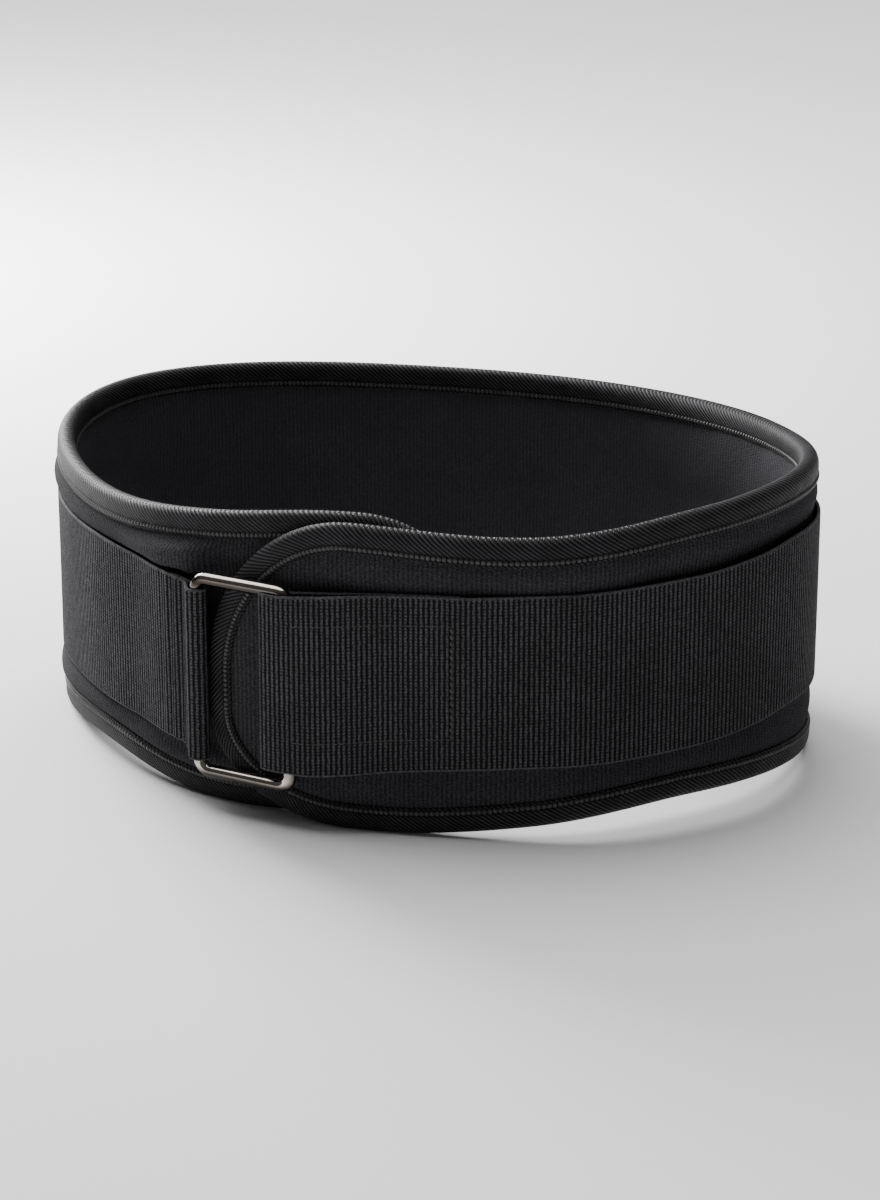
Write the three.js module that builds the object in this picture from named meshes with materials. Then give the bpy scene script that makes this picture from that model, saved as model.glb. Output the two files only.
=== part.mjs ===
// A padded weightlifting belt, closed round an empty waist: a foam-cored panel whose outer end laps
// over its inner end, a tape binding round the panel's whole edge, a ribbed support strap round the
// outside, and a wire ring at the front that the strap's two ends loop through.
// Millimetres, +Z up. The front faces -Y, and the belt stands on its lower edge.
import * as THREE from 'three';

// The belt as worn, seen from above: the outer face of a single wall.
const halfWidth = 178;
const halfDepth = 137;
// How far the outline reaches beyond a plain oval at even steps round it, from +X towards +Y,
// as shares of the oval's own reach there.
const outlineReach = [0.96, 1.011, 1.02, 1.009, 0.963, 0.976, 0.995, 0.952, 0.957, 0.942, 0.912, 0.924];

// The panel.
const beltHeight = 130;
const wall = 8;
const lapGap = 0.5;
const outerEnd = -23;
const overlap = 127;
const lapRelease = 70;
// The round ends: how long the rounding is, and how tall at the lower and the upper corner.
const endReach = 62;
const endRise = { low: 45, high: 64 };
const innerEndLift = 2;
// Where the edges leave their level over the hips and at the back: the turn in degrees from +X
// towards +Y, how far the swell reaches each way, and how much the edge rises there.
const lowSwells = [
  { turn: 343, spread: 52, rise: 9 },
  { turn: 227, spread: 32, rise: 6 },
];
const highSwells = [
  { turn: 226, spread: 60, rise: -10 },
  { turn: 316, spread: 30, rise: -3 },
  { turn: 5, spread: 35, rise: 3.8 },
  { turn: 95, spread: 70, rise: -3 },
];

// The binding tape, folded over the panel's edge.
const tape = 1;
const tapeCover = 11.5;
const tapeRoll = 2.2;

// The padding: how far it stands above the bound edge between binding and strap, and inside.
const outerPuff = 1.1;
const innerPuff = 1.6;
const puffFade = 30;

// The support strap.
const webWidth = 75;
const webThick = 1.6;
const webFrontZ = 61.4;
// How far the strap's middle stands above its height at the ring, at even turns from +X.
const webRise = [11, 8, 5, 4, 3.6, 3.4, 2.8, 2, 1.6, 0, 4.5, 6.5];
const sewnUnderlap = 68;
const freeLength = 245;
const barApproach = { right: 45, left: 50 };
const layerStep = 26;
// The loose length of the sewn fold beyond the ring's bar, and the neck where the free layer
// drops from the other bar onto the layer beneath it.
const foldSlack = 7.5;
const neck = { from: 9, to: 3 };
// Where the strap stands off the panel at one hip, and where it presses into it at the other.
const standoff = { turn: 352, spread: 42, depth: 3 };
const pressed = { turn: 205, spread: 60, depth: 2 };

// The ring.
const wire = 5;
const ringWidth = 47;
const ringHeight = 87.5;
const ringMiddle = { x: -4.5, z: 61.2 };
const ringCorner = 4.2;
const ringClear = 1.1;

// Clearance between neighbouring pieces, and the facet steps.
const clearance = 0.35;
const stationStep = 11;
const cornerSteps = 9;
const foldSteps = 8;
const neckSteps = 6;
const wireSides = 10;
const wireCornerSteps = 4;

const up = new THREE.Vector3(0, 0, 1);

const fabric = new THREE.MeshStandardMaterial({ color: 0x202023, roughness: 0.95, metalness: 0 });
const twill = new THREE.MeshStandardMaterial({ color: 0x2a2a2c, roughness: 0.85, metalness: 0 });
const webbing = new THREE.MeshStandardMaterial({ color: 0x262628, roughness: 0.8, metalness: 0 });
const nickel = new THREE.MeshStandardMaterial({ color: 0xb9b2a6, roughness: 0.25, metalness: 1 });

// Smooth periodic interpolation through values given at even turns.
function aroundTable(values, turn) {
  const count = values.length;
  let sum = 0;
  values.forEach((value, index) => {
    const away = turn - (index * 2 * Math.PI) / count;
    let weight = 1 + Math.cos((count / 2) * away);
    for (let wave = 1; wave < count / 2; wave += 1) weight += 2 * Math.cos(wave * away);
    sum += (value * weight) / count;
  });
  return sum;
}

function outlinePoint(turn) {
  const oval = 1 / Math.hypot(Math.cos(turn) / halfWidth, Math.sin(turn) / halfDepth);
  const reach = oval * aroundTable(outlineReach, turn);
  return new THREE.Vector3(reach * Math.cos(turn), reach * Math.sin(turn), 0);
}

// Length along the outline, measured from the middle of the front and growing towards +X.
const frontTurn = -Math.PI / 2;
const samples = 1440;
const lengthAt = [0];
for (let index = 1; index <= samples; index += 1) {
  const before = outlinePoint(frontTurn + ((index - 1) * 2 * Math.PI) / samples);
  const after = outlinePoint(frontTurn + (index * 2 * Math.PI) / samples);
  lengthAt.push(lengthAt[index - 1] + before.distanceTo(after));
}
const girth = lengthAt[samples];

function turnAt(along) {
  const wrapped = THREE.MathUtils.euclideanModulo(along, girth);
  let low = 0;
  let high = samples;
  while (high - low > 1) {
    const middle = (low + high) >> 1;
    if (lengthAt[middle] <= wrapped) low = middle;
    else high = middle;
  }
  const share = (wrapped - lengthAt[low]) / (lengthAt[high] - lengthAt[low]);
  return frontTurn + ((low + share) * 2 * Math.PI) / samples;
}

function outwardAt(along) {
  const turn = turnAt(along);
  const nudge = 0.001;
  const ahead = outlinePoint(turn + nudge).sub(outlinePoint(turn - nudge)).normalize();
  return ahead.cross(up);
}

// A place on the belt: along the outline, out from its outer face, and up.
function place(along, out, height) {
  const point = outlinePoint(turnAt(along)).addScaledVector(outwardAt(along), out);
  point.z = height;
  return point;
}

function smooth(value, from, to) {
  return THREE.MathUtils.smoothstep(value, from, to);
}

// 1 at the middle of a stretch round the belt, easing to 0 at its ends.
function stretch(along, middleDegrees, spreadDegrees) {
  const degrees = THREE.MathUtils.radToDeg(turnAt(along)) - middleDegrees;
  const away = Math.abs(THREE.MathUtils.euclideanModulo(degrees + 180, 360) - 180);
  if (away >= spreadDegrees) return 0;
  return Math.cos((away / spreadDegrees) * (Math.PI / 2)) ** 2;
}

// The panel starts at its outer end at the front, goes once round and ends under its own start.
const innerEnd = outerEnd + girth + overlap;

function swell(along, swells) {
  const lift = innerEndLift * smooth(along, girth + outerEnd, innerEnd - endReach);
  return swells.reduce((sum, row) => sum + row.rise * stretch(along, row.turn, row.spread), lift);
}

function lowEdge(along) {
  return swell(along, lowSwells);
}

function highEdge(along) {
  return beltHeight + swell(along, highSwells);
}

// How far the outer end stands out to clear the inner end beneath it.
function lapLift(along) {
  const release = outerEnd + overlap + wall;
  return (wall + lapGap) * (1 - smooth(along, release, release + lapRelease));
}

// Even stations along the straight part of the panel's edges, shared by all that follows them.
const straightFrom = outerEnd + endReach;
const straightTo = innerEnd - endReach;
const stationCount = Math.ceil((straightTo - straightFrom) / stationStep);
const stations = [];
for (let index = 0; index <= stationCount; index += 1) {
  stations.push(straightFrom + ((straightTo - straightFrom) * index) / stationCount);
}

// A closed skin over rings of points. An open run of rings gets a cap at each end.
function skin(rings, closed) {
  const size = rings[0].length;
  const positions = rings.flat().flatMap((point) => [point.x, point.y, point.z]);
  const index = [];
  const quad = (a, b, c, d) => index.push(a, b, c, a, c, d);
  const runs = closed ? rings.length : rings.length - 1;
  for (let ring = 0; ring < runs; ring += 1) {
    const here = ring * size;
    const next = ((ring + 1) % rings.length) * size;
    for (let corner = 0; corner < size; corner += 1) {
      const beside = (corner + 1) % size;
      quad(here + corner, next + corner, next + beside, here + beside);
    }
  }
  if (!closed) {
    const last = (rings.length - 1) * size;
    for (let corner = 0; corner < size / 2 - 1; corner += 1) {
      const opposite = size - 1 - corner;
      quad(corner, corner + 1, opposite - 1, opposite);
      quad(last + opposite, last + opposite - 1, last + corner + 1, last + corner);
    }
  }
  const geometry = new THREE.BufferGeometry();
  geometry.setAttribute('position', new THREE.Float32BufferAttribute(positions, 3));
  geometry.setIndex(index);
  geometry.computeVertexNormals();
  return geometry;
}

// The height of the strap's middle, a little lower at the ring than at the back.
function webMiddle(along) {
  return webFrontZ + aroundTable(webRise, turnAt(along));
}

// How deep the strap lies in the padding.
function pressedIn(along) {
  return pressed.depth * stretch(along, pressed.turn, pressed.spread);
}

// The panel: one padded wall whose section narrows to round ends inside the binding. It stands
// proud in a soft roll above and below the strap, and is flat under the strap and the binding.
function panel() {
  const inset = tape + clearance;
  const rollMargin = 2;

  // The share says how much of each corner's rounding is taken off at that station.
  function section(along, share) {
    const low = lowEdge(along) + inset;
    const high = highEdge(along) - inset;
    const webLow = webMiddle(along) - webWidth / 2 - rollMargin;
    const webHigh = webMiddle(along) + webWidth / 2 + rollMargin;
    const boundLow = lowEdge(along) + tapeCover + 1;
    const boundHigh = highEdge(along) - tapeCover - 1;
    const rows = [
      { height: low, outer: 0, inner: 0, bed: 0 },
      { height: boundLow, outer: 0, inner: 0, bed: 0 },
      { height: (boundLow + webLow) / 2, outer: 1, inner: 0.75, bed: 0 },
      { height: webLow, outer: 0, inner: 1, bed: 1 },
      { height: webHigh, outer: 0, inner: 1, bed: 1 },
      { height: (boundHigh + webHigh) / 2, outer: 1, inner: 0.75, bed: 0 },
      { height: boundHigh, outer: 0, inner: 0, bed: 0 },
      { height: high, outer: 0, inner: 0, bed: 0 },
    ];
    const fromEnd = Math.min(along - outerEnd, innerEnd - along);
    const puff = smooth(fromEnd, puffFade, puffFade * 2);
    const lift = lapLift(along);
    const squeeze = (height) => THREE.MathUtils.mapLinear(
      height,
      low,
      high,
      low + share * (endRise.low - inset),
      high - share * (endRise.high - inset),
    );
    const raised = (row) => outerPuff * row.outer * puff - pressedIn(along) * row.bed;
    const outerFace = (row) => lift - tape - clearance + raised(row);
    const innerFace = (row) => lift - wall + tape + clearance - innerPuff * row.inner * puff;
    return [
      ...rows.map((row) => place(along, outerFace(row), squeeze(row.height))),
      ...rows.toReversed().map((row) => place(along, innerFace(row), squeeze(row.height))),
    ];
  }

  const rings = stations.map((along) => section(along, 0));
  for (let step = cornerSteps - 1; step >= 0; step -= 1) {
    const angle = (step / cornerSteps) * (Math.PI / 2);
    const reach = (endReach - inset) * Math.cos(angle);
    rings.unshift(section(straightFrom - reach, 1 - Math.sin(angle)));
    rings.push(section(straightTo + reach, 1 - Math.sin(angle)));
  }
  return skin(rings, false);
}

// The panel's outline laid flat, as along and height, anticlockwise seen from outside.
function flatOutline() {
  const lowCorner = (centre, side) => [...Array(cornerSteps).keys()].map((step) => {
    const angle = (step / cornerSteps) * (Math.PI / 2);
    const along = centre + side * endReach * Math.cos(angle);
    return [along, lowEdge(along) + endRise.low * (1 - Math.sin(angle))];
  });
  const highCorner = (centre, side) => [...Array(cornerSteps).keys()].map((step) => {
    const angle = (step / cornerSteps) * (Math.PI / 2);
    const along = centre + side * endReach * Math.cos(angle);
    return [along, highEdge(along) - endRise.high * (1 - Math.sin(angle))];
  });
  return [
    ...stations.map((along) => [along, lowEdge(along)]),
    ...lowCorner(straightTo, 1).reverse(),
    ...highCorner(straightTo, 1),
    ...stations.toReversed().map((along) => [along, highEdge(along)]),
    ...highCorner(straightFrom, -1).reverse(),
    ...lowCorner(straightFrom, -1),
  ];
}

// The binding: a tape folded over the edge, a U in section, all the way round the outline.
function binding() {
  const profile = [
    { inward: tapeRoll, out: -wall },
    { inward: 0, out: tapeRoll - wall },
    { inward: 0, out: -tapeRoll },
    { inward: tapeRoll, out: 0 },
    { inward: tapeCover, out: 0 },
    { inward: tapeCover, out: -tape },
    { inward: tape, out: -tape },
    { inward: tape, out: tape - wall },
    { inward: tapeCover, out: tape - wall },
    { inward: tapeCover, out: -wall },
  ];
  const outline = flatOutline();
  const rings = outline.map(([along, height], index) => {
    const before = outline.at(index - 1);
    const after = outline[(index + 1) % outline.length];
    const run = Math.hypot(after[0] - before[0], after[1] - before[1]);
    const inwardAlong = -(after[1] - before[1]) / run;
    const inwardUp = (after[0] - before[0]) / run;
    return profile.map((corner) => place(
      along + inwardAlong * corner.inward,
      lapLift(along + inwardAlong * corner.inward) + corner.out,
      height + inwardUp * corner.inward,
    ));
  });
  return skin(rings, true);
}

// The ring lies upright across the lapped end, its two upright bars inside the strap's folds.
const ringY = place(ringMiddle.x, lapLift(0) + ringClear + wire / 2, 0).y;
const barReach = (ringWidth - wire) / 2;

function ring() {
  const across = barReach;
  const tall = ringHeight / 2 - wire / 2;
  const centres = [
    { x: across - ringCorner, z: tall - ringCorner, from: 0 },
    { x: ringCorner - across, z: tall - ringCorner, from: 90 },
    { x: ringCorner - across, z: ringCorner - tall, from: 180 },
    { x: across - ringCorner, z: ringCorner - tall, from: 270 },
  ];
  const rings = [];
  centres.forEach((centre) => {
    for (let step = 0; step <= wireCornerSteps; step += 1) {
      const turn = THREE.MathUtils.degToRad(centre.from + (step / wireCornerSteps) * 90);
      const away = new THREE.Vector3(Math.cos(turn), 0, Math.sin(turn));
      const middle = new THREE.Vector3(ringMiddle.x + centre.x, ringY, ringMiddle.z + centre.z);
      middle.addScaledVector(away, ringCorner);
      const section = [];
      for (let side = 0; side < wireSides; side += 1) {
        const angle = ((side + 0.5) / wireSides) * 2 * Math.PI;
        const point = middle.clone().addScaledVector(away, (wire / 2) * Math.cos(angle));
        point.y += (wire / 2) * Math.sin(angle);
        section.push(point);
      }
      rings.push(section.reverse());
    }
  });
  return skin(rings, true);
}

// Where a bar stands on the belt: along its outline, and out from its face.
function barPlace(x) {
  const bar = new THREE.Vector3(x, ringY, 0);
  let along = x;
  for (let pass = 0; pass < 6; pass += 1) {
    const foot = place(along, 0, 0);
    const forward = up.clone().cross(outwardAt(along));
    along += bar.clone().sub(foot).dot(forward);
  }
  return { along, out: bar.clone().sub(place(along, 0, 0)).dot(outwardAt(along)), bar };
}

// The support strap: from its sewn end round one bar, round the outside of the panel, round the
// other bar and back over itself to its free end.
function strap() {
  const foldReach = wire / 2 + clearance + webThick / 2;
  const onPanel = webThick / 2 - tape;
  const layer = webThick + clearance;
  const right = barPlace(ringMiddle.x + barReach);
  const left = barPlace(ringMiddle.x - barReach);
  left.along += girth;

  // The sewn end lies on the panel, under the layer that goes round the belt.
  const sewnOut = (along) => THREE.MathUtils.lerp(
    right.out - foldReach,
    lapLift(along) + onPanel,
    smooth(along, right.along, right.along + barApproach.right),
  );
  const sewnEnd = right.along + sewnUnderlap;
  const aroundOut = (along) => {
    const lapped = along < girth / 2 ? lapLift(along) : 0;
    const overSewn = layer * (1 - smooth(along, sewnEnd + 2, sewnEnd + 2 + layerStep));
    const off = standoff.depth * stretch(along, standoff.turn, standoff.spread);
    const resting = lapped + onPanel + overSewn + off - pressedIn(along);
    const fromRight = smooth(along, right.along, right.along + barApproach.right);
    const toLeft = smooth(along, left.along - barApproach.left, left.along);
    const leaving = THREE.MathUtils.lerp(right.out + foldReach, resting, fromRight);
    return THREE.MathUtils.lerp(leaving, left.out - foldReach, toLeft);
  };
  const freeOut = (along) => THREE.MathUtils.lerp(
    aroundOut(along) + layer,
    left.out + foldReach,
    smooth(along, left.along - neck.from, left.along - neck.to),
  );

  // The strap's centre line seen from above.
  const line = [];
  const rest = (from, to, steps, out) => {
    for (let step = 0; step <= steps; step += 1) {
      const along = from + ((to - from) * step) / steps;
      line.push({ point: place(along, out(along), 0), along });
    }
  };
  const fold = (centre, along, from, to, slack) => {
    const outward = outwardAt(along);
    const forward = up.clone().cross(outward);
    for (let step = 1; step < foldSteps; step += 1) {
      const angle = from + ((to - from) * step) / foldSteps;
      const point = centre.clone().addScaledVector(outward, foldReach * Math.sin(angle));
      point.addScaledVector(forward, (foldReach + slack) * Math.cos(angle));
      line.push({ point, along });
    }
  };
  const stepsOver = (length) => Math.ceil(length / stationStep);
  const neckEnd = left.along - neck.from - 1;
  rest(sewnEnd, right.along, stepsOver(sewnUnderlap), sewnOut);
  fold(right.bar, right.along, -Math.PI / 2, -1.5 * Math.PI, foldSlack);
  rest(right.along, left.along, stepsOver(left.along - right.along), aroundOut);
  fold(left.bar, left.along, -Math.PI / 2, Math.PI / 2, 0);
  rest(left.along, neckEnd, neckSteps, freeOut);
  rest(neckEnd - stationStep, left.along - freeLength, stepsOver(freeLength - neck.from), freeOut);

  const rings = line.map(({ point, along }, index) => {
    const before = line[Math.max(index - 1, 0)].point;
    const after = line[Math.min(index + 1, line.length - 1)].point;
    const side = after.clone().sub(before).normalize().cross(up);
    const low = webMiddle(along) - webWidth / 2;
    const at = (reach, height) => {
      const corner = point.clone().addScaledVector(side, reach);
      corner.z = height;
      return corner;
    };
    return [
      at(webThick / 2, low),
      at(webThick / 2, low + webWidth),
      at(-webThick / 2, low + webWidth),
      at(-webThick / 2, low),
    ];
  });
  return skin(rings, false);
}

function piece(name, geometry, material) {
  const mesh = new THREE.Mesh(geometry, material);
  mesh.name = name;
  return mesh;
}

const belt = new THREE.Group();
belt.add(piece('belt_panel', panel(), fabric));
belt.add(piece('edge_binding', binding(), twill));
belt.add(piece('support_strap', strap(), webbing));
belt.add(piece('buckle_ring', ring(), nickel));

// The origin is under the middle of the whole belt, on the surface that it stands on.
const box = new THREE.Box3().setFromObject(belt);
const middle = box.getCenter(new THREE.Vector3());
belt.children.forEach((mesh) => mesh.position.set(-middle.x, -middle.y, -box.min.z));

export default belt;
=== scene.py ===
import math

import bpy
import numpy as np
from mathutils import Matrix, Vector


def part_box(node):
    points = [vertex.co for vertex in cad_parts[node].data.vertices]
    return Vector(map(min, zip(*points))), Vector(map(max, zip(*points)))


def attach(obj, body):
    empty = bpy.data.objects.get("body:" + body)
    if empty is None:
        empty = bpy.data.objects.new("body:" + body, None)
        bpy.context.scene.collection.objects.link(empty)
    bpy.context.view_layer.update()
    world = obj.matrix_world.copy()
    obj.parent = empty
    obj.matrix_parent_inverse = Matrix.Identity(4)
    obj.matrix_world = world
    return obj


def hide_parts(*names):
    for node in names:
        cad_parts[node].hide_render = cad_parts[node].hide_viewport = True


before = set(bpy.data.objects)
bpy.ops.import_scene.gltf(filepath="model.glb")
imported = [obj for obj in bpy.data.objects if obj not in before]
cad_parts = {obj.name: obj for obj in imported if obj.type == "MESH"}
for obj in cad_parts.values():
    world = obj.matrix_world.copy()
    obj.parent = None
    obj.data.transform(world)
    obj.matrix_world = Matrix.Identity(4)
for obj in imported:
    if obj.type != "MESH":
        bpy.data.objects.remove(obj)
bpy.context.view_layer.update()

# Lengths are in millimetres until a piece is placed. The front faces -Y.
MM = 0.001
TURN = 2 * math.pi

# The belt's sizes. A turn is in degrees round it, anticlockwise from the right as seen from above.
# outline_reach and web_rise have a value for every 30 degrees: a share of the plain oval, and a
# height above web_front. A swell is the turn of its middle, its spread in degrees and its rise.
half_width, half_depth = 178, 137
outline_reach = [0.96, 1.011, 1.02, 1.009, 0.963, 0.976, 0.995, 0.952, 0.957, 0.942, 0.912, 0.924]
belt_height, wall, lap_gap = 130, 8, 0.5
outer_end, overlap, lap_release = -23, 127, 70
end_reach, end_rise_low, end_rise_high, inner_end_lift = 62, 45, 64, 2
low_swells = [(343, 52, 9), (227, 32, 6)]
high_swells = [(226, 60, -10), (316, 30, -3), (5, 35, 3.8), (95, 70, -3)]
tape, tape_cover, clearance = 1, 11.5, 0.35
web_width, web_thick, web_front = 75, 1.6, 61.4
web_rise = [11, 8, 5, 4, 3.6, 3.4, 2.8, 2, 1.6, 0, 4.5, 6.5]
sewn_underlap, free_length = 68, 245
approach_right, approach_left, layer_step = 45, 50, 26
loop_x, fold_x, loop_slack, fold_slack = -25.4, 17.8, 0.9, 7.4
neck_from, neck_to = 7, 0.5
standoff, standoff_turn, standoff_spread = 3, 352, 42
pressed, pressed_turn, pressed_spread = 2, 205, 60
wire, ring_width, ring_height = 5, 49, 88.1
ring_x, ring_z, ring_corner, ring_clear = -2.8, 59.8, 5.4, 1.1


def around_table(values, turn):
    """Smooth periodic interpolation through values given at even turns."""
    count = len(values)
    total = np.zeros_like(turn, dtype=float)
    for index, value in enumerate(values):
        away = turn - index * TURN / count
        weight = 1 + np.cos(count / 2 * away)
        for wave in range(1, count // 2):
            weight = weight + 2 * np.cos(wave * away)
        total = total + value * weight / count
    return total


def outline_point(turn):
    oval = 1 / np.hypot(np.cos(turn) / half_width, np.sin(turn) / half_depth)
    reach = oval * around_table(outline_reach, turn)
    return np.stack([reach * np.cos(turn), reach * np.sin(turn)], axis=-1)


turns = np.linspace(-TURN / 4, TURN * 3 / 4, 5761)
steps = np.linalg.norm(np.diff(outline_point(turns), axis=0), axis=1)
lengths = np.concatenate([[0], np.cumsum(steps)])
girth = lengths[-1]
inner_end = outer_end + girth + overlap


def turn_at(along):
    return np.interp(np.mod(along, girth), lengths, turns)


def outward_at(along):
    turn = turn_at(along)
    ahead = outline_point(turn + 0.001) - outline_point(turn - 0.001)
    ahead = ahead / np.linalg.norm(ahead, axis=-1, keepdims=True)
    return np.stack([ahead[..., 1], -ahead[..., 0]], axis=-1)


def plan(along, out):
    """A place seen from above: along the outline, and out from its outer face."""
    return outline_point(turn_at(along)) + outward_at(along) * np.asarray(out)[..., None]


def place(along, out, height):
    along, out, height = np.broadcast_arrays(along, out, height)
    return np.concatenate([plan(along, out), height[..., None].astype(float)], axis=-1)


def smooth(value, low, high):
    share = np.clip((value - low) / (high - low), 0, 1)
    return share * share * (3 - 2 * share)


def stretch(along, middle, spread):
    away = np.abs(np.mod(np.degrees(turn_at(along)) - middle + 180, 360) - 180)
    return np.where(away < spread, np.cos(np.clip(away / spread, 0, 1) * TURN / 4) ** 2, 0)


def swell(along, swells):
    lift = inner_end_lift * smooth(along, girth + outer_end, inner_end - end_reach)
    return lift + sum(rise * stretch(along, turn, spread) for turn, spread, rise in swells)


def low_edge(along):
    return swell(along, low_swells)


def high_edge(along):
    return belt_height + swell(along, high_swells)


def lap_lift(along):
    release = outer_end + overlap + wall
    return (wall + lap_gap) * (1 - smooth(along, release, release + lap_release))


def web_middle(along):
    return web_front + around_table(web_rise, turn_at(along))


def pressed_in(along):
    return pressed * stretch(along, pressed_turn, pressed_spread)


ring_out = lap_lift(0.0) + ring_clear + wire / 2
ring_y = float(plan(np.array(float(ring_x)), ring_out)[1])
bar_reach = (ring_width - wire) / 2

# How far the middle of the belt's oval lies from the origin, found from the solid ring.
ring_low, ring_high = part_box("buckle_ring")
solid_ring_x = -4.5
solid_ring_y = float(plan(np.array(solid_ring_x), ring_out)[1])
shift = np.array([
    (ring_low.x + ring_high.x) / 2 / MM - solid_ring_x,
    (ring_low.y + ring_high.y) / 2 / MM - solid_ring_y,
    0,
])


def waver(a, b, seed, size):
    """A gentle seeded unevenness over two lengths, about 1 at most, with waves of that size."""
    draw = np.random.default_rng(seed)
    total = 0
    for _ in range(7):
        wave = TURN / (size * draw.uniform(0.6, 1.8))
        lean = draw.uniform(0, TURN)
        phase = draw.uniform(0, TURN)
        total = total + np.sin(wave * (np.cos(lean) * a + np.sin(lean) * b) + phase)
    return total / 4


def edit(piece):
    bpy.ops.object.select_all(action="DESELECT")
    bpy.context.view_layer.objects.active = piece
    piece.select_set(True)
    bpy.ops.object.mode_set(mode="EDIT")
    bpy.ops.mesh.select_all(action="SELECT")


def swept(name, places, marks):
    """A grid whose corners are moved to places, and whose UV map is marks. Both are in millimetres."""
    count, rows = places.shape[:2]
    bpy.ops.object.select_all(action="DESELECT")
    bpy.ops.mesh.primitive_grid_add(x_subdivisions=count - 1, y_subdivisions=rows - 1, size=2)
    piece = bpy.context.object
    piece.name = piece.data.name = name
    mesh = piece.data
    flat = np.empty(len(mesh.vertices) * 3)
    mesh.vertices.foreach_get("co", flat)
    flat = flat.reshape(-1, 3)
    i = np.rint((flat[:, 0] + 1) / 2 * (count - 1)).astype(int)
    j = np.rint((flat[:, 1] + 1) / 2 * (rows - 1)).astype(int)
    mesh.vertices.foreach_set("co", ((places[i, j] + shift) * MM).ravel())
    corners = np.empty(len(mesh.loops), int)
    mesh.loops.foreach_get("vertex_index", corners)
    mesh.uv_layers.active.data.foreach_set("uv", (marks[i, j][corners] * MM).ravel())
    edit(piece)
    bpy.ops.mesh.remove_doubles(threshold=1e-6)
    bpy.ops.mesh.normals_make_consistent(inside=False)
    bpy.ops.object.mode_set(mode="OBJECT")
    bpy.ops.object.shade_smooth()
    return piece


# The webbing as it lies: its width, and its middle's height off the plain line, at places along.
width_along = [-300, -245, -32, -27, 15, 24, 40, 87, 236, 320]
width_there = [75, 71.5, 71.5, 74.3, 75.4, 77, 76.8, 73.2, 73.2, 75]
sway_along = [-245, -125, -80, -43, -32, -27, 0, 15, 24, 40, 87, 117, 160, 184, 218, 236, 300]
sway_there = [0, -0.4, -0.1, 1.3, 1.3, -1.6, 0, 1.2, 0.4, 0, 0.5, 0.7, -0.3, -1.2, -0.4, 1.1, 0]


def lies(along, places, values):
    near = np.mod(along + 330, girth) - 330
    return sum(np.interp(near + step, places, values) for step in (-3, 0, 3)) / 3


# The panel's two faces, as how far out they stand at a height.
face_inset = tape + clearance
# The height of the inside's seam, given at places along the belt and eased between them.
seam_along = [-60, 200, 300, 392, 440, 483, 554, 594, 649, 712, 800, 900, 1100]
seam_height = [66, 74, 90, 86, 78.8, 74.8, 75, 76.8, 82, 92, 88, 76, 70]


# How far the padding swells: up beside the strap to be level with its face, at a turn and over a
# spread and most beside the ring, then in rolls on the outside and the inside, with unevenness.
bank_height, bank_stretch, bank_by_ring, bank_below = 2.0, (212, 62), 7.5, 0.4
outer_roll, inner_roll, outer_uneven, inner_uneven = 1.3, 1.6, 0.22, 0.35


def seam_at(along):
    return sum(np.interp(along + near, seam_along, seam_height) for near in (-24, -12, 0, 12, 24)) / 5


def roll(height, low, high):
    share = np.clip((height - low) / np.maximum(high - low, 1), 0, 1)
    return np.sin(share * math.pi) ** 1.3


def panel_faces(along, height):
    web_low = web_middle(along) - web_width / 2 - 1
    web_high = web_middle(along) + web_width / 2 + 1
    bound_low = low_edge(along) + tape_cover - 1
    bound_high = high_edge(along) - tape_cover + 1
    from_end = np.minimum(along - outer_end, inner_end - along)
    puff = smooth(from_end, 12, 60)
    lift = lap_lift(along)
    rolls = roll(height, bound_low, web_low) + roll(height, web_high, bound_high)
    uneven = outer_uneven * waver(along, height, 3, 46)
    middle = web_middle(along) + lies(along, sway_along, sway_there)
    reach = lies(along, width_along, width_there) / 2
    bed = 1 - smooth(np.abs(height - middle), reach - 1, reach + 1.5)
    banks = smooth(height, bound_low, bound_low + 6) * (1 - smooth(height, bound_high - 6, bound_high))
    by_ring = smooth(along, girth - 90, girth - 40) * (1 - smooth(along, girth - 34, girth - 19))
    by_ring = by_ring * np.where(height > middle, 1, bank_below)
    bank = bank_height * stretch(along, *bank_stretch) + bank_by_ring * by_ring
    sunk = (1 - bed) * banks * bank - bed * pressed_in(along)
    outer = lift - face_inset + outer_roll * puff * rolls + uneven * (rolls > 0) + sunk
    seam = seam_at(along)
    quilts = roll(height, bound_low, seam) + roll(height, seam, bound_high)
    inner = lift - wall + face_inset - inner_roll * puff * quilts ** 0.5
    inner = inner - inner_uneven * waver(along, height, 4, 40)
    return outer, inner


def end_steps(reach, count):
    """Lengths and shares of rounding for stations from the tip of a round end inwards."""
    angle = np.linspace(0, TURN / 4, count, endpoint=False)
    return reach * np.cos(angle), 1 - np.sin(angle)


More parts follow.
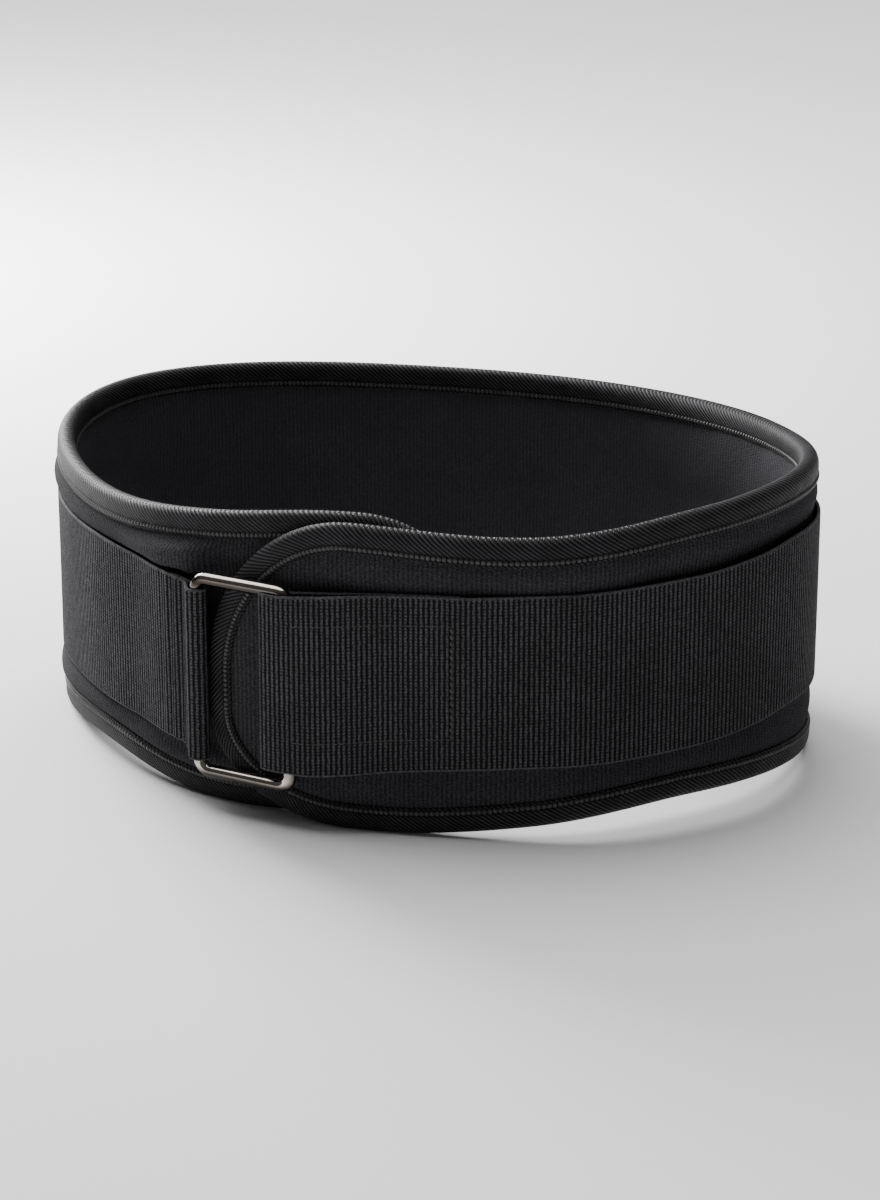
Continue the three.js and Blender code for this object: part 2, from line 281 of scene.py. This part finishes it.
def panel():
    face_rows, stations, end_stations = 67, 340, 24
    straight_from, straight_to = outer_end + end_reach, inner_end - end_reach
    straight = np.linspace(straight_from, straight_to, stations)
    reach, share = end_steps(end_reach - face_inset, end_stations)
    along = np.concatenate([straight_from - reach, straight, (straight_to + reach)[::-1]])
    share = np.concatenate([share, np.zeros(len(straight)), share[::-1]])
    along, share = along[:, None], share[:, None]
    up = np.linspace(0, 1, face_rows)[None, :]
    low, high = low_edge(along) + face_inset, high_edge(along) - face_inset
    height = low + up * (high - low)
    end_low = low + share * (end_rise_low - face_inset)
    end_high = high - share * (end_rise_high - face_inset)
    squeezed = end_low + up * (end_high - end_low)
    outer, inner = panel_faces(along, height)
    along = np.broadcast_to(along, height.shape)
    faces = [place(along, outer, squeezed), place(along, inner, squeezed)[:, ::-1]]
    places = np.concatenate([faces[0], faces[1], faces[0][:, :1]], axis=1)
    marks = np.stack([along, squeezed], axis=-1)
    marks = np.concatenate([marks, marks[:, ::-1], marks[:, :1]], axis=1)
    for tip in (0, -1):
        middle = (faces[0][tip] + faces[1][tip][::-1]) / 2
        closed = np.concatenate([middle, middle[::-1], middle[:1]])[None]
        ends = [places, closed] if tip else [closed, places]
        places = np.concatenate(ends, axis=0)
        edge = marks[tip][None]
        marks = np.concatenate([marks, edge] if tip else [edge, marks], axis=0)
    return swept("panel_body", places, marks)


def flat_outline(step):
    """The panel's edge laid flat, evenly stepped: along, height, and the way into the panel."""
    straight_from, straight_to = outer_end + end_reach, inner_end - end_reach
    straight = np.linspace(straight_from, straight_to, 900)
    angle = np.linspace(0, TURN / 4, 60, endpoint=False)[1:]
    cosine, rest = np.cos(angle), 1 - np.sin(angle)

    def corner(centre, side, low):
        along = centre + side * end_reach * np.concatenate([[1], cosine])
        gone = np.concatenate([[1], rest])
        edge = low_edge(along) + end_rise_low * gone if low else high_edge(along) - end_rise_high * gone
        return np.stack([along, edge], axis=-1)

    line = np.concatenate([
        np.stack([straight, low_edge(straight)], axis=-1),
        corner(straight_to, 1, True)[::-1],
        corner(straight_to, 1, False),
        np.stack([straight[::-1], high_edge(straight[::-1])], axis=-1),
        corner(straight_from, -1, False)[::-1],
        corner(straight_from, -1, True),
    ])
    closed = np.concatenate([line, line[:1]])
    run = np.concatenate([[0], np.cumsum(np.linalg.norm(np.diff(closed, axis=0), axis=1))])
    count = int(run[-1] / step)
    at = np.linspace(0, run[-1], count, endpoint=False)
    even = np.stack([np.interp(at, run, closed[:, k]) for k in (0, 1)], axis=-1)
    ahead = np.roll(even, -2, axis=0) - np.roll(even, 2, axis=0)
    ahead = ahead / np.linalg.norm(ahead, axis=1, keepdims=True)
    inward = np.stack([-ahead[:, 1], ahead[:, 0]], axis=-1)
    return at, even, inward


# The tape's outer side from the fold to its sewn edge: how far in, and how far out from the face.
stitch_inset, tape_step, pucker_height = 9.4, 1.9, 0.16
tape_section = [
    (0.0, -4.0), (0.1, -3.0), (0.45, -2.0), (1.1, -1.1), (2.0, -0.45), (3.2, 0.0), (4.6, 0.2),
    (6.2, 0.2), (7.6, 0.1), (8.6, -0.08), (9.4, -0.3), (10.2, -0.12), (10.8, -0.08), (11.25, -0.2),
    (11.5, -0.5), (11.45, -1.0), (10.4, -1.1), (8.0, -1.05), (5.0, -1.0),
]


def binding():
    at, line, inward = flat_outline(tape_step)
    outer = np.array(tape_section)
    inner = outer[::-1] * [1, -1] + [0, -wall]
    section = np.concatenate([outer[1:], inner[:-1], outer[:1], outer[1:2]])
    # The order is: outer face from the fold to its edge and back under, inner face, then the fold.
    into, out = section[:, 0], section[:, 1]
    along = line[:, :1] + inward[:, :1] * into
    height = line[:, 1:] + inward[:, 1:] * into
    pucker = pucker_height * waver(at[:, None], into[None, :], 8, 9) * smooth(into, 2, 6)
    lean = np.where(out > -wall / 2, 1, -1)
    places = place(along, lap_lift(along) + out + pucker * lean, height)
    across = np.where(out > -wall / 2, into, -into)
    marks = np.stack(np.broadcast_arrays(at[:, None], across[None, :]), axis=-1)
    places = np.concatenate([places, places[:1]])
    last = marks[:1] + [at[-1] + at[1], 0]
    marks = np.concatenate([marks, last])
    return swept("binding_tape", places, marks)


# The support strap's line, from its sewn end to its free end.
fold_reach = wire / 2 + clearance + web_thick / 2
on_panel = web_thick / 2 - tape
layer = web_thick + clearance


def bar_place(x):
    along = float(x)
    for _ in range(6):
        foot = plan(np.array(along), 0.0)
        outward = outward_at(np.array(along))
        along += float((np.array([x, ring_y]) - foot) @ np.array([-outward[1], outward[0]]))
    out = float((np.array([x, ring_y]) - plan(np.array(along), 0.0)) @ outward_at(np.array(along)))
    return along, out


right_along, right_out = bar_place(fold_x)
left_along, left_out = bar_place(loop_x)
left_along += girth
sewn_end = right_along + sewn_underlap


def lerp(a, b, share):
    return a + (b - a) * share


def sewn_out(along):
    near = smooth(along, right_along, right_along + approach_right)
    return lerp(right_out - fold_reach, lap_lift(along) + on_panel, near)


def around_out(along):
    lapped = np.where(along < girth / 2, lap_lift(along), 0)
    over_sewn = layer * (1 - smooth(along, sewn_end + 2, sewn_end + 2 + layer_step))
    off = standoff * stretch(along, standoff_turn, standoff_spread)
    resting = lapped + on_panel + over_sewn + off - pressed_in(along)
    from_right = smooth(along, right_along, right_along + approach_right)
    to_left = smooth(along, left_along - approach_left, left_along)
    leaving = lerp(right_out + fold_reach, resting, from_right)
    return lerp(leaving, left_out - fold_reach, to_left)


def free_out(along):
    near = smooth(along, left_along - neck_from, left_along - neck_to)
    return lerp(around_out(along) + layer, left_out + fold_reach, near)


def strap_line():
    """The strap's middle seen from above, as x, y and along."""
    parts = []

    def rest(start, end, out):
        along = np.linspace(start, end, int(abs(end - start)) + 1)
        parts.append(np.column_stack([plan(along, out(along)), along]))

    def fold(centre_x, along, start, end, slack):
        outward = outward_at(np.array(along))
        forward = np.array([-outward[1], outward[0]])
        angle = np.linspace(start, end, 42)[1:-1, None]
        point = np.array([centre_x, ring_y]) + fold_reach * np.sin(angle) * outward
        point = point + (fold_reach + slack) * np.cos(angle) * forward
        parts.append(np.column_stack([point, np.full(len(point), along)]))

    rest(sewn_end, right_along, sewn_out)
    fold(fold_x, right_along, -TURN / 4, -TURN * 3 / 4, fold_slack)
    rest(right_along, left_along, around_out)
    fold(loop_x, left_along, -TURN / 4, TURN / 4, loop_slack)
    rest(left_along, left_along - free_length, free_out)
    return np.concatenate(parts)


# The ribs' pitch and relief, the selvage's bulge, how uneven the strap lies, how high it ripples
# beside the loop, and how much narrower the layer under the free one is.
rib, rib_height, selvage_bulge = 2.1, 0.16, 0.14
lie_uneven, edge_uneven, ripple_height, drawn_in = 0.25, 0.2, 0.35, 5
line = strap_line()
runs = np.concatenate([[0], np.cumsum(np.linalg.norm(np.diff(line[:, :2], axis=0), axis=1))])
strap_length = runs[-1]
# The length that the sewn fold takes round the bar.
fold_round = float(runs[np.flatnonzero(line[:, 2] == right_along)[-1]]) - sewn_underlap
# Where the strap reaches the ring's left bar.
left_run = float(runs[np.flatnonzero(line[:, 2] == left_along)[0]])


def strap_at(run, across, off):
    """A place on the strap: along it, up from its lower edge, and off its middle to one side."""
    run, across, off = np.broadcast_arrays(run, across, off)
    x, y, along = (np.interp(run, runs, line[:, k]) for k in range(3))
    ahead = [
        np.interp(run + 0.4, runs, line[:, k]) - np.interp(run - 0.4, runs, line[:, k])
        for k in range(2)
    ]
    size = np.hypot(*ahead)
    side = [ahead[1] / size, -ahead[0] / size]
    wave = lie_uneven * waver(run, across * 0.3, 12, 60)
    beside = run - left_run - math.pi * fold_reach
    ripple = smooth(beside, 7, 12) * (1 - smooth(beside, 18, 34))
    wave = wave + ripple_height * ripple * np.cos(TURN * beside / 7 + across / 40)
    middle = web_middle(along) + lies(along, sway_along, sway_there)
    middle = middle + edge_uneven * waver(run, 0 * run, 13, 90)
    under = smooth(run, left_run - free_length + 5, left_run - free_length + 25)
    under = under * (1 - smooth(run, left_run - 32, left_run - 12))
    up = (across / web_width - 0.5) * (lies(along, width_along, width_there) - drawn_in * under)
    return np.stack([x + side[0] * (off + wave), y + side[1] * (off + wave), middle + up], axis=-1)


# Where the corners of one rib's section lie along it, as shares of the rib, and how high they are.
rib_shares = [0.0, 0.52, 0.64, 0.88]
rib_levels = [1, 1, -1, -1]
# Half the webbing is thinner than its ribs by this much.
half_less = 0.15


def strap_half(run, across):
    """Half the webbing's thickness: rounded at its edges, ribbed between them."""
    edge = np.minimum(across, web_width - across)
    rounded = np.sqrt(np.clip(1 - (1 - np.clip(edge / 0.8, 0, 1)) ** 2, 0, 1))
    level = np.interp(np.mod(run / rib + 1e-6, 1), rib_shares + [1], rib_levels + [1])
    ribs = rib_height * level * smooth(edge, 0.5, 1.3)
    selvage = selvage_bulge * np.exp(-((edge - 0.6) / 0.4) ** 2)
    return (web_thick / 2 - half_less) * rounded + ribs + selvage


def strap():
    whole = np.arange(0, int(strap_length / rib))[:, None]
    run = ((whole + np.array(rib_shares)) * rib).reshape(-1, 1)
    half_rows = np.array([0.2, 0.5, 0.9, 1.3, 2.1, 8, 22])
    rows = np.concatenate([half_rows, [web_width / 2], (web_width - half_rows)[::-1]])
    across = np.concatenate([rows, [web_width], rows[::-1], [0], rows[:1]])[None, :]
    count = len(rows)
    side = np.concatenate([np.ones(count), [0], -np.ones(count), [0], [1]])[None, :]
    places = strap_at(run, across, side * strap_half(run, across))
    marks = np.stack(np.broadcast_arrays(run, across), axis=-1)
    middle = strap_at(run, across, 0.0)
    places = np.concatenate([middle[:1], places, middle[-1:]])
    marks = np.concatenate([marks[:1], marks, marks[-1:]])
    return swept("strap_webbing", places, marks)


# The plating makes the wire this much thicker all round.
plating = 0.2


def ring():
    """A wire bent round: a circle pushed along each side and spun round each corner."""
    across, tall = bar_reach, ring_height / 2 - wire / 2
    radius = (wire / 2 + plating) * MM
    middle = Vector(((ring_x + shift[0]) * MM, (ring_y + shift[1]) * MM, ring_z * MM))
    corner = ring_corner * MM
    start = middle + Vector((across * MM, 0, -tall * MM + corner))
    bpy.ops.object.select_all(action="DESELECT")
    bpy.ops.mesh.primitive_circle_add(vertices=28, radius=radius, location=start)
    piece = bpy.context.object
    piece.name = piece.data.name = "ring_wire"
    bpy.ops.object.transform_apply(location=True)
    bpy.ops.object.mode_set(mode="EDIT")
    bpy.ops.mesh.select_all(action="SELECT")
    sides = [
        (Vector((0, 0, 2 * (tall * MM - corner))), (1, 1)),
        (Vector((-2 * (across * MM - corner), 0, 0)), (-1, 1)),
        (Vector((0, 0, -2 * (tall * MM - corner))), (-1, -1)),
        (Vector((2 * (across * MM - corner), 0, 0)), (1, -1)),
    ]
    for push, (x, z) in sides:
        bpy.ops.mesh.extrude_region_move(TRANSFORM_OT_translate={"value": push})
        centre = middle + Vector((x * (across * MM - corner), 0, z * (tall * MM - corner)))
        bpy.ops.mesh.spin(steps=8, angle=math.pi / 2, center=centre, axis=(0, 1, 0))
    bpy.ops.mesh.select_all(action="SELECT")
    bpy.ops.mesh.remove_doubles(threshold=2e-6)
    bpy.ops.mesh.normals_make_consistent(inside=False)
    bpy.ops.object.mode_set(mode="OBJECT")
    bpy.ops.object.shade_smooth()
    # How far each place is up the wire's own roundness, for a painted highlight on top of each bar and
    # painted shade on the wire's underside.
    height = np.array([vertex.co.z / MM - ring_z for vertex in piece.data.vertices])
    up_bar = smooth(height - np.sign(height) * tall, -0.25 * wire, 0.55 * wire) ** 1.4
    level = smooth(np.abs(height), tall - 6, tall - 2)
    painted_light_share = piece.data.attributes.new("painted_light_share", "FLOAT", "POINT")
    painted_light_share.data.foreach_set("value", lerp(0.5, up_bar, level))
    return piece


def stitches(name, centres, ahead, out, length, width, height):
    """Thread humps in rows: one small ball, stretched and set at every centre."""
    bpy.ops.object.select_all(action="DESELECT")
    bpy.ops.mesh.primitive_uv_sphere_add(segments=6, ring_count=4, radius=1)
    ball = bpy.context.object
    corners = np.array([tuple(v.co) for v in ball.data.vertices])
    faces = [tuple(p.vertices) for p in ball.data.polygons]
    bpy.ops.object.delete()
    ahead = ahead / np.linalg.norm(ahead, axis=1, keepdims=True)
    out = out - ahead * np.sum(ahead * out, axis=1, keepdims=True)
    out = out / np.linalg.norm(out, axis=1, keepdims=True)
    side = np.cross(out, ahead)
    spots = (
        centres[:, None]
        + ahead[:, None] * corners[None, :, 2:] * length / 2
        + side[:, None] * corners[None, :, 1:2] * width / 2
        + out[:, None] * corners[None, :, :1] * height
    )
    size = len(corners)
    every = [tuple(v + size * k for v in face) for k in range(len(centres)) for face in faces]
    mesh = bpy.data.meshes.new(name)
    mesh.from_pydata(((spots.reshape(-1, 3) + shift) * MM).tolist(), [], every)
    piece = bpy.data.objects.new(name, mesh)
    bpy.context.scene.collection.objects.link(piece)
    edit(piece)
    bpy.ops.mesh.normals_make_consistent(inside=False)
    bpy.ops.object.mode_set(mode="OBJECT")
    bpy.ops.object.shade_smooth()
    return piece


def row_frames(points, off_points):
    """Centres, ways ahead and ways out of stitches laid along a run of places."""
    centres = (points[1:] + points[:-1]) / 2
    ahead = points[1:] - points[:-1]
    out = (off_points[1:] + off_points[:-1]) / 2 - centres
    return centres, ahead, out


# The pitch of each row of stitches, and the length, width and height of its thread humps.
binding_pitch, binding_hump = 2.1, (2.0, 2.2, 0.8)
seam_pitch, seam_hump = 3.0, (2.6, 0.6, 0.22)
box_pitch, box_hump = 2.6, (2.0, 0.9, 0.34)
# How far the box of stitches starts past the sewn fold, its length and the edges it keeps off.
box_start, box_less, box_low, box_high = 4, 2.8, 14, 12.5
# How bold the box's rows are: below, across the sewn end, above and beside the fold.
box_bold = (0.5, 1.9, 0.5, 0.5)


def binding_stitches():
    at, line, inward = flat_outline(binding_pitch)
    closed = np.concatenate([line, line[:1]])
    inward = np.concatenate([inward, inward[:1]])
    along = closed[:, 0] + inward[:, 0] * stitch_inset
    height = closed[:, 1] + inward[:, 1] * stitch_inset
    rows = []
    for level, way in ((-0.3, 1), (0.3 - wall, -1)):
        base = place(along, lap_lift(along) + level + 0.15 * way, height)
        above = place(along, lap_lift(along) + level + 3.0 * way, height)
        rows.append(row_frames(base, above))
    centres, ahead, out = (np.concatenate([row[k] for row in rows]) for k in range(3))
    return stitches("binding_stitches", centres, ahead, out, *binding_hump)


def seam_stitches():
    along = np.arange(outer_end + 18, inner_end - 18, seam_pitch)
    height = seam_at(along)
    inner = panel_faces(along, height)[1]
    frames = row_frames(place(along, inner - 0.05, height), place(along, inner - 3.0, height))
    return stitches("seam_stitches", *frames, *seam_hump)


def box_stitches():
    """The rectangle that is sewn through the strap's two layers, right of the ring."""
    near = sewn_underlap + fold_round + box_start
    far = near + sewn_underlap - box_less
    low, high = box_low, web_width - box_high
    corners = [(near, low), (far, low), (far, high), (near, high), (near, low)]
    rows, bold = [], []
    for (a, b), (c, d), share in zip(corners, corners[1:], box_bold):
        count = max(2, int(math.hypot(c - a, d - b) / box_pitch))
        bold += [share] * (count - 1)
        run = np.linspace(a, c, count)
        across = np.linspace(b, d, count)
        rows.append(row_frames(strap_at(run, across, web_thick / 2), strap_at(run, across, 4.0)))
    centres, ahead, out = (np.concatenate([row[k] for row in rows]) for k in range(3))
    bold = np.array(bold)[:, None, None]
    length, width, height = box_hump
    return stitches("strap_stitches", centres, ahead, out, length, width * bold, height * bold)


class Finish:
    """One material and short ways to add nodes to it."""

    def __init__(self, name):
        self.material = bpy.data.materials.new(name)
        self.material.use_nodes = True
        self.tree = self.material.node_tree
        self.shader = self.tree.nodes["Principled BSDF"]

    def add(self, kind, inputs, **settings):
        node = self.tree.nodes.new("ShaderNode" + kind)
        for key, value in settings.items():
            setattr(node, key, value)
        for key, value in inputs.items():
            self.put(node, key, value)
        return node

    def put(self, node, key, value):
        if isinstance(value, bpy.types.NodeSocket):
            self.tree.links.new(value, node.inputs[key])
        else:
            node.inputs[key].default_value = value

    def math(self, operation, first, second=0.0):
        return self.add("Math", {0: first, 1: second}, operation=operation).outputs[0]

    def marks(self):
        uv = self.add("UVMap", {}, uv_map="UVMap")
        split = self.add("SeparateXYZ", {"Vector": uv.outputs[0]})
        return split.outputs[0], split.outputs[1]

    def bands(self, value, pitch):
        """0 to 1 and back over each pitch in millimetres."""
        wave = self.math("COSINE", self.math("MULTIPLY", value, TURN / (pitch * MM)))
        return self.math("ADD", self.math("MULTIPLY", wave, 0.5), 0.5)

    def ease(self, value, low, high):
        """0 below low, 1 above high, and smooth between."""
        inputs = {"Value": value, "From Min": low, "From Max": high}
        return self.add("MapRange", inputs, interpolation_type="SMOOTHSTEP").outputs[0]

    def noise(self, scale, detail=3.0):
        place = self.add("TexCoord", {})
        inputs = {"Vector": place.outputs["Object"], "Scale": scale, "Detail": detail}
        return self.add("TexNoise", inputs).outputs["Fac"]

    def mix(self, share, first, second):
        node = self.add("Mix", {0: share, 6: first, 7: second}, data_type="RGBA")
        return node.outputs[2]

    def bump(self, height, distance):
        inputs = {"Height": height, "Distance": distance * MM, "Strength": 1.0}
        return self.add("Bump", inputs).outputs[0]

    def set(self, **values):
        for key, value in values.items():
            self.put(self.shader, key.replace("_", " "), value)
        return self.material


def grey(value, tint=(1, 1, 1)):
    return (value * tint[0], value * tint[1], value * tint[2], 1)


cool, violet = (0.99, 0.97, 1.09), (1, 0.96, 1.06)
# The pitches of the weaves.
wale, loop, twill_ridge, twill_yarn, web_yarn = 1.9, 1.3, 1.95, 1.0, 1.35


def panel_material(name, low, high):
    """Brushed knit cloth: fine wales under a short uneven pile."""
    f = Finish(name)
    u, v = f.marks()
    wales = f.bands(u, wale)
    loops = f.bands(f.math("ADD", v, f.math("MULTIPLY", u, 0.35)), loop)
    knit = f.math("MULTIPLY", wales, f.math("ADD", f.math("MULTIPLY", loops, 0.5), 0.5))
    pile = f.ease(f.noise(1300, 3), 0.36, 0.68)
    nap = f.math("ADD", f.math("MULTIPLY", pile, 0.5), f.math("MULTIPLY", knit, 0.5))
    tone = f.ease(f.noise(30, 5), 0.25, 0.75)
    shade = f.math("MULTIPLY", nap, f.math("ADD", f.math("MULTIPLY", tone, 0.35), 0.8))
    colour = f.mix(shade, grey(low, cool), grey(high, cool))
    height = f.math("ADD", nap, f.math("MULTIPLY", f.noise(400, 2), 0.5))
    return f.set(Base_Color=colour, Roughness=0.9, Normal=f.bump(height, 0.3),
                 Specular_IOR_Level=0.06)


def twill_material():
    """Diagonal ridges of twill, each made of short yarns."""
    f = Finish("twill_tape")
    u, v = f.marks()
    drift = f.math("MULTIPLY", f.noise(300, 2), 0.4 * MM)
    slope = f.math("ADD", f.math("MULTIPLY", u, 0.85), f.math("MULTIPLY", v, 1.1))
    lean = f.math("ADD", slope, drift)
    ridges = f.ease(f.bands(lean, twill_ridge), 0.2, 0.75)
    yarns = f.bands(f.math("SUBTRACT", u, f.math("MULTIPLY", v, 0.8)), twill_yarn)
    weave = f.math("MULTIPLY", ridges, f.math("ADD", f.math("MULTIPLY", yarns, 0.4), 0.6))
    tone = f.ease(f.noise(60, 5), 0.25, 0.75)
    shade = f.math("MULTIPLY", weave, f.math("ADD", f.math("MULTIPLY", tone, 0.6), 0.6))
    # Painted shade darkens the tape beside its row of stitches, where it dips into a groove.
    from_row = f.math("ABSOLUTE", f.math("SUBTRACT", f.math("ABSOLUTE", v), stitch_inset * MM))
    row_shade = f.math("ADD", f.math("MULTIPLY", f.ease(from_row, 1.0 * MM, 2.2 * MM), 0.6), 0.4)
    shade = f.math("MULTIPLY", shade, row_shade)
    colour = f.mix(shade, grey(0.001, cool), grey(0.062, cool))
    return f.set(Base_Color=colour, Roughness=0.58, Normal=f.bump(weave, 0.7),
                 Specular_IOR_Level=0.15)


def webbing_material():
    """Ribs across the webbing: pale flat crests of fine yarns with dark gaps between."""
    f = Finish("ribbed_webbing")
    u, v = f.marks()
    drift = f.math("MULTIPLY", f.math("SUBTRACT", f.noise(420, 3), 0.5), 0.8 * MM)
    middle = f.math("ADD", f.math("SUBTRACT", u, 0.26 * rib * MM), drift)
    crest = f.ease(f.bands(middle, rib), 0.3, 0.72)
    sway = f.math("MULTIPLY", f.noise(60, 2), 1.2 * MM)
    yarns = f.ease(f.bands(f.math("ADD", v, sway), web_yarn), 0.1, 0.9)
    strands = f.ease(f.noise(1100, 3), 0.34, 0.68)
    thread = f.math("ADD", f.math("MULTIPLY", yarns, 0.5), f.math("MULTIPLY", strands, 0.65))
    ribbed = f.math("MULTIPLY", crest, f.math("ADD", thread, 0.15))
    inward = f.math("MINIMUM", v, f.math("SUBTRACT", web_width * MM, v))
    selvage = f.math("SUBTRACT", 1.0, f.ease(inward, 0.7 * MM, 1.2 * MM))
    weave = f.math("MAXIMUM", ribbed, f.math("MULTIPLY", selvage, f.math("ADD", strands, 0.35)))
    tone = f.ease(f.noise(45, 5), 0.25, 0.75)
    shade = f.math("MULTIPLY", weave, f.math("ADD", f.math("MULTIPLY", tone, 0.35), 0.72))
    colour = f.mix(shade, grey(0.009, violet), grey(0.09, violet))
    return f.set(Base_Color=colour, Roughness=0.66, Normal=f.bump(weave, 0.25),
                 Specular_IOR_Level=0.07)


def thread_material(name, low, high):
    f = Finish(name)
    colour = f.mix(f.noise(260, 3), grey(low), grey(high))
    return f.set(Base_Color=colour, Roughness=0.5, Normal=f.bump(f.noise(1500, 2), 0.05),
                 Specular_IOR_Level=0.35, Sheen_Weight=0.05)


def nickel_material():
    f = Finish("plated_wire")
    painted_light_share = f.add("Attribute", {}, attribute_name="painted_light_share").outputs["Fac"]
    # The plating's colour is painted light: a pale painted highlight on top of each bar and dark
    # painted shade on its underside, with a random mottle.
    tone = f.math("MULTIPLY", painted_light_share, f.math("ADD", f.math("MULTIPLY", f.noise(120, 6), 0.5), 0.7))
    colour = f.mix(tone, (0.03, 0.024, 0.019, 1), (0.56, 0.50, 0.44, 1))
    rough = f.math("ADD", f.math("MULTIPLY", f.noise(420, 5), 0.14), 0.10)
    return f.set(Base_Color=colour, Metallic=1.0, Roughness=rough,
                 Normal=f.bump(f.noise(700, 3), 0.02))


# Each material's darkest and palest grey.
fabric = panel_material("panel_knit", 0.014, 0.06)
lining = panel_material("inside_knit", 0.035, 0.07)
twill = twill_material()
webbing = webbing_material()
binding_thread = thread_material("binding_thread", 0.02, 0.075)
seam_thread = thread_material("seam_thread", 0.003, 0.012)
strap_thread = thread_material("strap_thread", 0.012, 0.075)
nickel = nickel_material()


def finish_with(piece, slot, *materials):
    for material in materials:
        piece.data.materials.append(material)
    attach(piece, "root")
    return piece


body = finish_with(panel(), "panel_fabric", fabric, lining)
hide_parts("belt_panel")
# The faces on the waist's side take the lining.
for face in body.data.polygons:
    x, y = face.center.x / MM - shift[0], face.center.y / MM - shift[1]
    if face.normal.x * x + face.normal.y * y < 0:
        face.material_index = 1

edge = finish_with(binding(), "binding_tape", twill)
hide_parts("edge_binding")
web = finish_with(strap(), "webbing", webbing)
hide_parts("support_strap")
buckle = finish_with(ring(), "ring_metal", nickel)
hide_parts("buckle_ring")
finish_with(binding_stitches(), "binding_tape", binding_thread)
finish_with(seam_stitches(), "panel_fabric", seam_thread)
finish_with(box_stitches(), "webbing", strap_thread)

# The floor, the light and the camera.
floor_grey, sky, key_energy, key_radius, overhead_energy = 0.93, 0.12, 140, 0.3, 3.6
overhead_lean, overhead_spread = (-14, -22), 70
bpy.ops.object.select_all(action="DESELECT")
bpy.ops.mesh.primitive_plane_add(size=14, location=(0, 0, 0))
floor = bpy.context.object
floor.name = "floor"
pale = Finish("pale_floor")
floor.data.materials.append(pale.set(Base_Color=grey(floor_grey), Roughness=0.95))

world = bpy.data.worlds.new("studio")
world.use_nodes = True
world.node_tree.nodes["Background"].inputs["Color"].default_value = (1, 1, 1, 1)
world.node_tree.nodes["Background"].inputs["Strength"].default_value = sky
bpy.context.scene.world = world

bpy.ops.object.light_add(type="POINT", location=(-1.0, 0.42, 0.5))
bpy.context.object.name = "key_left"
bpy.context.object.data.energy = key_energy
bpy.context.object.data.shadow_soft_size = key_radius
lean_x, lean_y = (math.radians(lean) for lean in overhead_lean)
bpy.ops.object.light_add(type="SUN", rotation=(lean_x, lean_y, 0))
bpy.context.object.name = "overhead"
bpy.context.object.data.energy = overhead_energy
bpy.context.object.data.angle = math.radians(overhead_spread)

azimuth, elevation, distance = math.radians(30), math.radians(18.155), 1.428
aim_right, aim_front, aim_up = 20.703, 21.902, 65
aim = Vector((shift[0] + aim_right, shift[1] - aim_front, aim_up)) * MM
back = Vector((
    math.sin(azimuth) * math.cos(elevation),
    -math.cos(azimuth) * math.cos(elevation),
    math.sin(elevation),
))
camera_data = bpy.data.cameras.new("camera")
camera = bpy.data.objects.new("camera", camera_data)
bpy.context.scene.collection.objects.link(camera)
camera.location = aim + back * distance
camera.rotation_euler = back.to_track_quat("Z", "Y").to_euler()
camera_data.sensor_fit = "VERTICAL"
camera_data.sensor_height = 36
camera_data.lens = 99.13
bpy.context.scene.camera = camera
